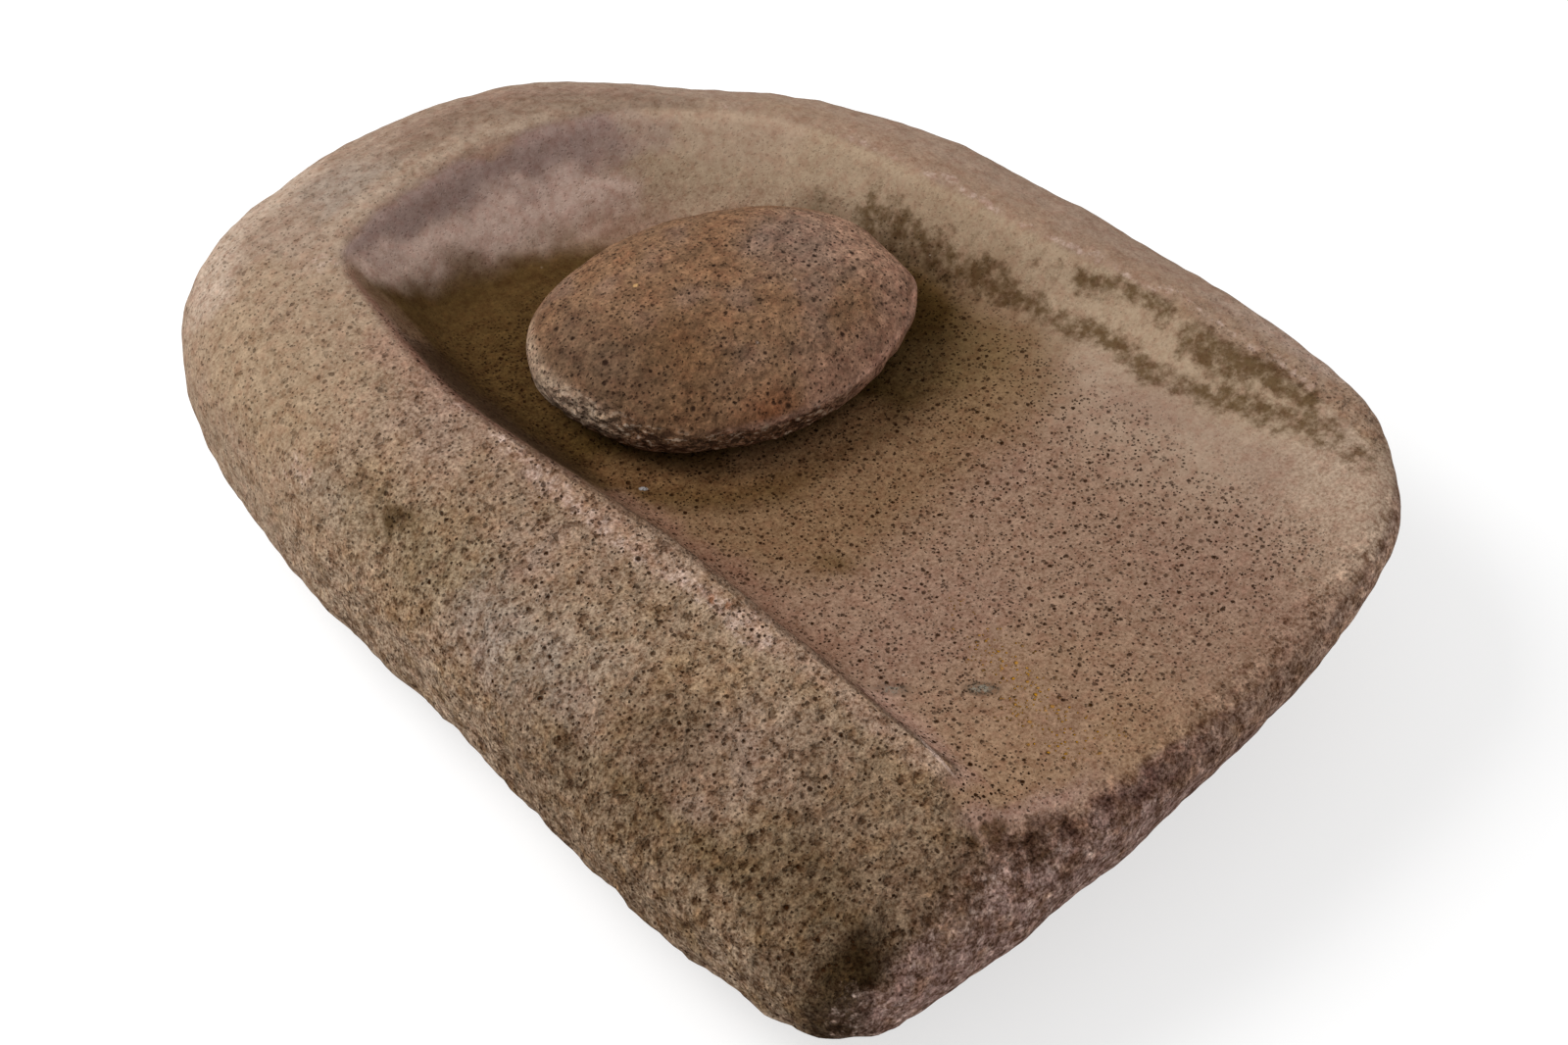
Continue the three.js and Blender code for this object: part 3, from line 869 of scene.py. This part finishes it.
fine = node("TexNoise", place, 1 / 0.0013, 3, 0.7)
grain = node("TexNoise", warped, 1 / 0.0040, 2, 0.5)
mottle = node("TexNoise", warped, 1 / 0.0055, 5, 0.72)
lumps = node("TexNoise", warped, 1 / 0.0090, 1, 0.4)
small_skin_pores = node("Math MULTIPLY", pores(node, warped, 0.0016, 0, 0.00076), 0.95)
skin_pores = node("Math MAXIMUM", pores(node, rugged, 0.0034, -0.0006, 0.00136), small_skin_pores)
skin_pits = node("Math MAXIMUM", node("MapRange SMOOTHSTEP", grain, 0.38, 0.30, 0, 0.5), skin_pores)
holes = node("Math MAXIMUM", node("Math MULTIPLY", skin_pits, painted["pits"]),
             node("Math MULTIPLY", floor_pores, painted["open_pores"]))

# %% Metate material: how light each place is
cloud_gain = node("Mix FLOAT", painted["mottled"], 1, node("MapRange", mottle, 0.34, 0.66, 0.42, 1.58))
grain_gain = node("Mix FLOAT", painted["rough"], 1, node("MapRange", grain, 0.34, 0.52, 0.62, 1.06))
unevenness = node("Math MULTIPLY_ADD", painted["mottled"], 0.5, painted["rough"])
fine_reach = node("MapRange", unevenness, 0, 1.5, 1.8, 4.2)
fine_gain = node("Math MULTIPLY_ADD", node("Math SUBTRACT", fine, 0.5), fine_reach, 1)
sharp_gain = node("Mix FLOAT", painted["crisp"], 1, node("Math MULTIPLY", grain_gain, fine_gain))
gain = node("Math MULTIPLY", cloud_gain, sharp_gain)


# %% Metate material: colour
def patch(label, size, low, high, most=1):
    """A painted mask broken up by noise: from 0 to the most, where mask and noise together pass a level."""
    together = node("Math MULTIPLY_ADD", node("TexNoise", warped, 1 / size, 4, 0.65), 2.2, painted[label])
    return node("MapRange SMOOTHSTEP", together, low, high, 0, most)


chalky = node("Mix RGBA", patch("chalk", 0.0032, 1.55, 2.3, 0.65), painted["tint"], "#c6aea2")
even = node("VectorMath SCALE", chalky, gain)
shade = node("MapRange", gain, 1, 0.45, 0, 1)
pinkness = node("MapRange", node("TexNoise", place, 1 / 0.0045, 3, 0.6), 0.45, 0.65, 0, 0.45)
sallowness = node("MapRange", node("TexNoise", warped, 1 / 0.0090, 3, 0.6), 0.48, 0.66, 0, 0.55)
coloured = even
sallow_skin = node("Math MULTIPLY", sallowness, painted["rough"])
for share, colour in ((shade, "#ffe8d4"), (pinkness, "#e8d0cc"), (sallow_skin, "#e6d8b2")):
    coloured = node("Mix RGBA", share, coloured, colour, blend_type="MULTIPLY")

# Some pores near the front have filled with ochre dust
hole_colour = node("Mix RGBA", patch("ochre", 0.0040, 1.45, 1.75), "#2c1503", "#b07a12")
coloured = node("Mix RGBA", node("Math MULTIPLY", holes, 0.88), coloured, hole_colour)
for share, colour in ((patch("lip", 0.0060, 1.40, 2.30), "#b4a6a8"),
                      (patch("grime", 0.0048, 1.45, 2.35), "#9c907b")):
    coloured = node("Mix RGBA", share, coloured, colour, blend_type="MULTIPLY")

# %% Metate material: white flecks, two grey pebbles in the floor, the chipped left rim and rust on it
flecks = node("Math MULTIPLY", pores(node, warped, 0.011, -0.0012, 0.0009), painted["open_pores"])
coloured = node("Mix RGBA", node("Math MULTIPLY", flecks, 0.6), coloured, "#c9b8a8")
worn = node("MapRange", fine, 0.42, 0.58, 0.15, 1)
inclusions = [
    (rugged, (-63, -133, 81), (7.28, 3.64, 6), -42, "#2c251c", node("Math MULTIPLY", worn, 0.57)),
    (rugged, (-63, -133, 81), (3.9, 1.95, 6), -42, "#8b8375", node("Math MULTIPLY", worn, 0.54)),
    (rugged, (-40, -152, 80), (7.28, 3.64, 6), -42, "#2c251c", node("Math MULTIPLY", worn, 0.95)),
    (rugged, (-40, -152, 80), (3.9, 1.95, 6), -42, "#8b8375", node("Math MULTIPLY", worn, 0.9)),
    (warped, (-63, -4, 79), (1.8, 1.0, 3), -42, "#a5a3a4", 0.7),
    (warped, (-76, -167, 87), (0.9, 11, 5), -6, "#cfb3a3", 0.75),
    (rugged, (-91, -74, 99), (2.2, 1.4, 3), 60, "#a0633c", 0.45),
    (rugged, (-89, -80, 98), (2.2, 1.4, 3), 60, "#a0633c", 0.45),
]
for vector, middle, radii, turn, colour, strength in inclusions:
    share = node("Math MULTIPLY", oval(node, vector, middle, radii, turn), strength)
    coloured = node("Mix RGBA", share, coloured, colour)

# %% Metate material: height in millimetres for the bump, and the shader
lump_height = node("Math MULTIPLY_ADD", grain, 4.5, node("Math MULTIPLY", lumps, 5.0))
rough_height = node("Math MULTIPLY", lump_height, painted["rough"])
pitted_height = node("Math MULTIPLY_ADD", holes, -0.8, rough_height)
stone_height = node("Math MULTIPLY_ADD", node("Math MULTIPLY", fine, painted["crisp"]), 0.35, pitted_height)
bump = node("Bump", named={"Strength": 1, "Distance": millimetre, "Height": stone_height})
shader = node("BsdfPrincipled", named={"Base Color": coloured, "Roughness": 0.92, "Normal": bump,
                                       "Specular IOR Level": 0.04})
node("OutputMaterial", shader)
print("tuff has", len(shader.id_data.nodes), "nodes")

# %% [markdown]
# The mano is a harder, redder andesite, pecked and then smoothed by hands. Its pores are round, sharp
# and of all sizes up to 3 mm, on a mottled brown ground. Round its near edge the stone has flaked.

# %% Mano material: holes, flakes and how light each place is
node = new_material("hand_smoothed_andesite", mano_piece)
place = node("TexCoord").outputs["Object"]
painted = painted_masks(node, mano_paints)
warped = warp(node, place, 0.0014, 0.0013)
small_pores = node("Math MULTIPLY", pores(node, warped, 0.0015, 0.0001, 0.00070), 0.85)
middle_pores = node("Math MAXIMUM", pores(node, warped, 0.0027, -0.0001, 0.00112), small_pores)
all_pores = node("Math MAXIMUM", pores(node, warped, 0.0058, -0.0016, 0.0015), middle_pores)

layered = node("Mapping", named={"Vector": warped, "Scale": (1, 1, 2.4)})
flake_cracks = node("TexNoise", layered, 1 / 0.0040, 3, 0.6)
flake_pits = node("MapRange SMOOTHSTEP", flake_cracks, 0.48, 0.42, 0, 0.9)
flake_chips = node("MapRange SMOOTHSTEP", flake_cracks, 0.55, 0.62, 0, 0.65)
mano_holes = node("Math MAXIMUM", all_pores, node("Math MULTIPLY", flake_pits, painted["flaked"]))

fine = node("TexNoise", place, 1 / 0.0013, 3, 0.7)
grain = node("TexNoise", warped, 1 / 0.0022, 4, 0.65)
mottle = node("TexNoise", warped, 1 / 0.007, 4, 0.6)
gain = node("MapRange", mottle, 0.3, 0.7, 0.66, 1.36)
gain = node("Math MULTIPLY", gain, node("MapRange", grain, 0.3, 0.7, 0.76, 1.24))
gain = node("Math MULTIPLY", gain, node("MapRange", fine, 0.3, 0.7, 0.64, 1.36))

# %% Mano material: colour
pinkness = node("MapRange", node("TexNoise", place, 1 / 0.005, 3, 0.6), 0.45, 0.65, 0, 0.5)
coloured = node("VectorMath SCALE", painted["tint"], gain)
coloured = node("Mix RGBA", pinkness, coloured, "#e8d2d0", blend_type="MULTIPLY")
white_flecks = pores(node, warped, 0.008, -0.0014, 0.0012)
ochre_fleck = oval(node, warped, (-22, 47, 118), (1.3, 1.1, 3))
for mask, strength, colour in ((mano_holes, 0.82, "#22120a"), (flake_chips, painted["flaked"], "#b5a08c"),
                               (white_flecks, 0.7, "#ab9486"), (ochre_fleck, 0.8, "#c39a68")):
    coloured = node("Mix RGBA", node("Math MULTIPLY", mask, strength), coloured, colour)

# %% Mano material: height in millimetres for the bump, and the shader
swells = node("TexNoise", warped, 1 / 0.0042, 1, 0.4)
hill_height = node("Math MULTIPLY", swells, node("Math MULTIPLY_ADD", painted["flaked"], 3.0, 2.4))
pitted_height = node("Math MULTIPLY_ADD", mano_holes, -0.6, hill_height)
mano_skin_height = node("Math MULTIPLY_ADD", fine, 0.3, pitted_height)
bump = node("Bump", named={"Strength": 1, "Distance": millimetre, "Height": mano_skin_height})
shader = node("BsdfPrincipled", named={"Base Color": coloured, "Roughness": 0.85, "Normal": bump,
                                       "Specular IOR Level": 0.06})
node("OutputMaterial", shader)
print("andesite has", len(shader.id_data.nodes), "nodes")

# %% [markdown]
# The photograph is lit softly from above and a little behind on the left, so one wide lamp does that
# and the room fills the rest. The floor is a pale card. The camera alone sees it brighter, up to white,
# while its shadow stays and no extra light reaches the stone.

# %% Floor
floor_size = 4
card_glow = 0.62
floor_corners = np.array([(-1, -1, 0), (1, -1, 0), (1, 1, 0), (-1, 1, 0)]) * floor_size
floor_mesh = bpy.data.meshes.new("floor")
floor_mesh.from_pydata(floor_corners.tolist(), [], [(0, 1, 2, 3)])
floor = bpy.data.objects.new("floor", floor_mesh)
bpy.context.scene.collection.objects.link(floor)


def seen_rays(node):
    """1 where the camera looks, straight or by gloss or glass, and 0 for light that falls on things."""
    rays = node("LightPath").outputs
    straight = node("Math MAXIMUM", rays["Is Camera Ray"], rays["Is Glossy Ray"])
    return node("Math MAXIMUM", straight, rays["Is Transmission Ray"])


node = new_material("pale_card", floor)
seen = seen_rays(node)
glow = node("Emission", (1, 1, 1, 1), node("Math MULTIPLY", seen, card_glow))
shown = node("AddShader", node("BsdfDiffuse", "#b4b4b4"), glow)
node("OutputMaterial", node("MixShader", seen, node("BsdfDiffuse", "#f2f2f2"), shown))

# %% Lamp and room
lamp_power = 22
lamp_size = 0.9
lamp_distance = 1.8
lamp_direction = Vector((-0.40, 0.50, 0.77)).normalized()
room_light = 0.6

lamp_data = bpy.data.lights.new("window", "AREA")
lamp_data.energy = lamp_power
lamp_data.size = lamp_size
lamp = bpy.data.objects.new("window", lamp_data)
lamp.location = lamp_direction * lamp_distance
lamp.rotation_mode = "QUATERNION"
lamp.rotation_quaternion = (-lamp_direction).to_track_quat("-Z", "Y")
bpy.context.scene.collection.objects.link(lamp)

world = bpy.data.worlds.new("room")
bpy.context.scene.world = world
world.use_nodes = True
world.node_tree.nodes.clear()
node = partial(add, world.node_tree)
strength = node("MapRange", seen_rays(node), 0, 1, room_light, 1)
node("OutputWorld", node("Background", (1, 1, 1, 1), strength))
bpy.context.scene.view_settings.view_transform = "Standard"
print("lamp", lamp_power, "W and room", room_light)
